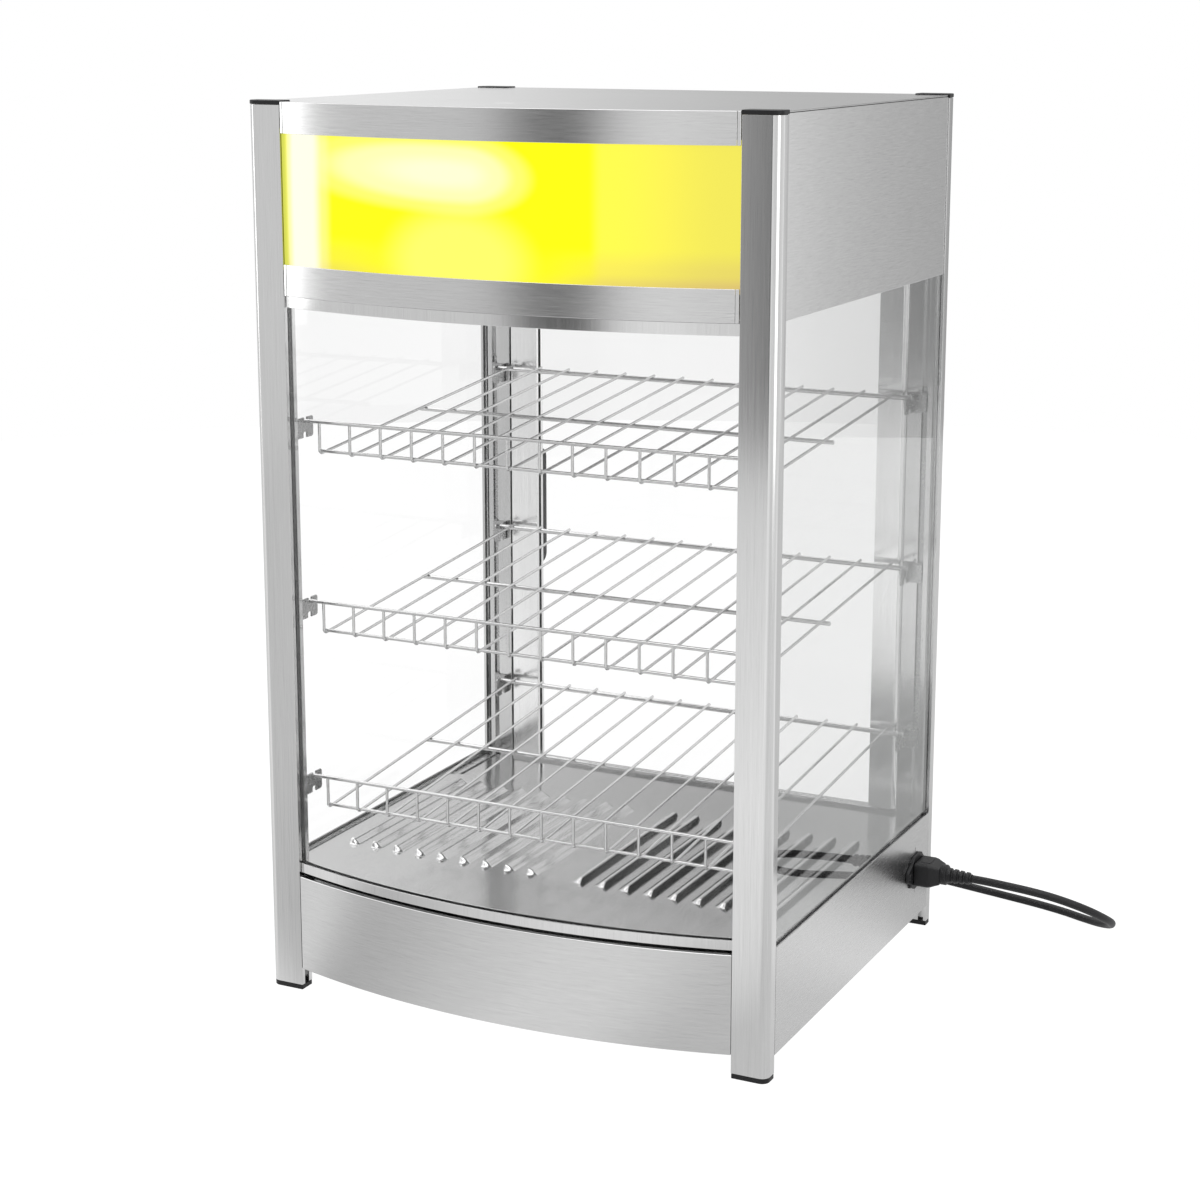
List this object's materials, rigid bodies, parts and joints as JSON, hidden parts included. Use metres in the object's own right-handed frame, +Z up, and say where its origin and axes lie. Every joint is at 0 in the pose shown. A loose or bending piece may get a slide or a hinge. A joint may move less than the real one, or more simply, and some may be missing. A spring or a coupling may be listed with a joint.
{
  "type": "food warmer cabinet",
  "caption": "Countertop food warmer with a lit header, a bowed glass front, wire shelves and a rear door",
  "frame": {"origin": "Bottom centre of the box round the cabinet without its cord, on the surface that it stands on.", "axes": "+Z is up, +X is to the right of someone who faces the bowed front, and +Y runs to the rear. Z is the longest extent."},
  "size_m": [0.6149, 0.5425, 0.735],
  "materials": {
    "panel_steel": "fine brushed",
    "column_aluminium": "satin anodised",
    "bright_wire": "bright plated",
    "clear_glass": "clear",
    "yellow_acrylic": "gloss, lit from behind",
    "lamp_glass": "frosted",
    "element_steel": "dull sheath",
    "black_plastic": "satin black",
    "amber_lens": "clear amber",
    "cord_rubber": "matte black"
  },
  "bodies": {
    "cabinet": {"base_front_panel": "panel_steel", "base_rear_panel": "panel_steel", "base_side_left": "panel_steel", "base_side_right": "panel_steel", "bottom_pan": "panel_steel", "cap_front_left": "black_plastic", "cap_front_right": "black_plastic", "cap_rear_left": "black_plastic", "cap_rear_right": "black_plastic", "chamber_ceiling": "panel_steel", "column_front_left": "column_aluminium", "column_front_right": "column_aluminium", "column_rear_left": "column_aluminium", "column_rear_right": "column_aluminium", "cord": "cord_rubber", "cord_coil": "cord_rubber", "cord_connector": "cord_rubber", "element_bracket_front": "panel_steel", "element_bracket_rear": "panel_steel", "floor_plate": "panel_steel", "foot_front_left": "black_plastic", "foot_front_right": "black_plastic", "foot_rear_left": "black_plastic", "foot_rear_right": "black_plastic", "front_glass": "clear_glass", "glass_rail_lower": "column_aluminium", "glass_rail_upper": "column_aluminium", "header_bottom_trim": "panel_steel", "header_rear_panel": "panel_steel", "header_side_left": "panel_steel", "header_side_right": "panel_steel", "header_top_trim": "panel_steel", "heating_element": "element_steel", "lamp_bulb": "lamp_glass", "lamp_holder": "black_plastic", "mains_inlet": "black_plastic", "mains_plug": "cord_rubber", "pilot_lamp": "amber_lens", "shelf_clips_front_left": "bright_wire", "shelf_clips_front_right": "bright_wire", "shelf_clips_rear_left": "bright_wire", "shelf_clips_rear_right": "bright_wire", "side_glass_left": "clear_glass", "side_glass_right": "clear_glass", "sign_panel": "yellow_acrylic", "switch_body": "black_plastic", "thermostat": "black_plastic", "top_panel": "panel_steel"},
    "rear_door": {"door_stile_hinge": "column_aluminium", "door_stile_free": "column_aluminium", "door_glass": "clear_glass", "door_handle": "black_plastic"},
    "upper_shelf": {"shelf_upper": "bright_wire"},
    "middle_shelf": {"shelf_middle": "bright_wire"},
    "lower_shelf": {"shelf_lower": "bright_wire"},
    "knob": {"thermostat_knob": "black_plastic"},
    "rocker": {"switch_rocker": "black_plastic"}
  },
  "joints": [
    {"name": "door_hinge", "type": "hinge", "parent": "cabinet", "child": "rear_door", "pos_m": [0.18655, 0.18935, 0.3436], "axis": [0, 0, -1], "range_deg": [0, 90]},
    {"name": "upper_shelf_lift", "type": "slide", "parent": "cabinet", "child": "upper_shelf", "axis": [0, 0, 1], "range_m": [0, 0.015]},
    {"name": "middle_shelf_lift", "type": "slide", "parent": "cabinet", "child": "middle_shelf", "axis": [0, 0, 1], "range_m": [0, 0.015]},
    {"name": "lower_shelf_lift", "type": "slide", "parent": "cabinet", "child": "lower_shelf", "axis": [0, 0, 1], "range_m": [0, 0.015]},
    {"name": "knob_turn", "type": "hinge", "parent": "cabinet", "child": "knob", "pos_m": [0.10825, 0.19635, 0.061], "axis": [0, -1, 0], "range_deg": [0, 270]},
    {"name": "rocker_tilt", "type": "hinge", "parent": "cabinet", "child": "rocker", "pos_m": [-0.11175, 0.19515, 0.061], "axis": [-1, 0, 0], "range_deg": [0, 20]}
  ]
}
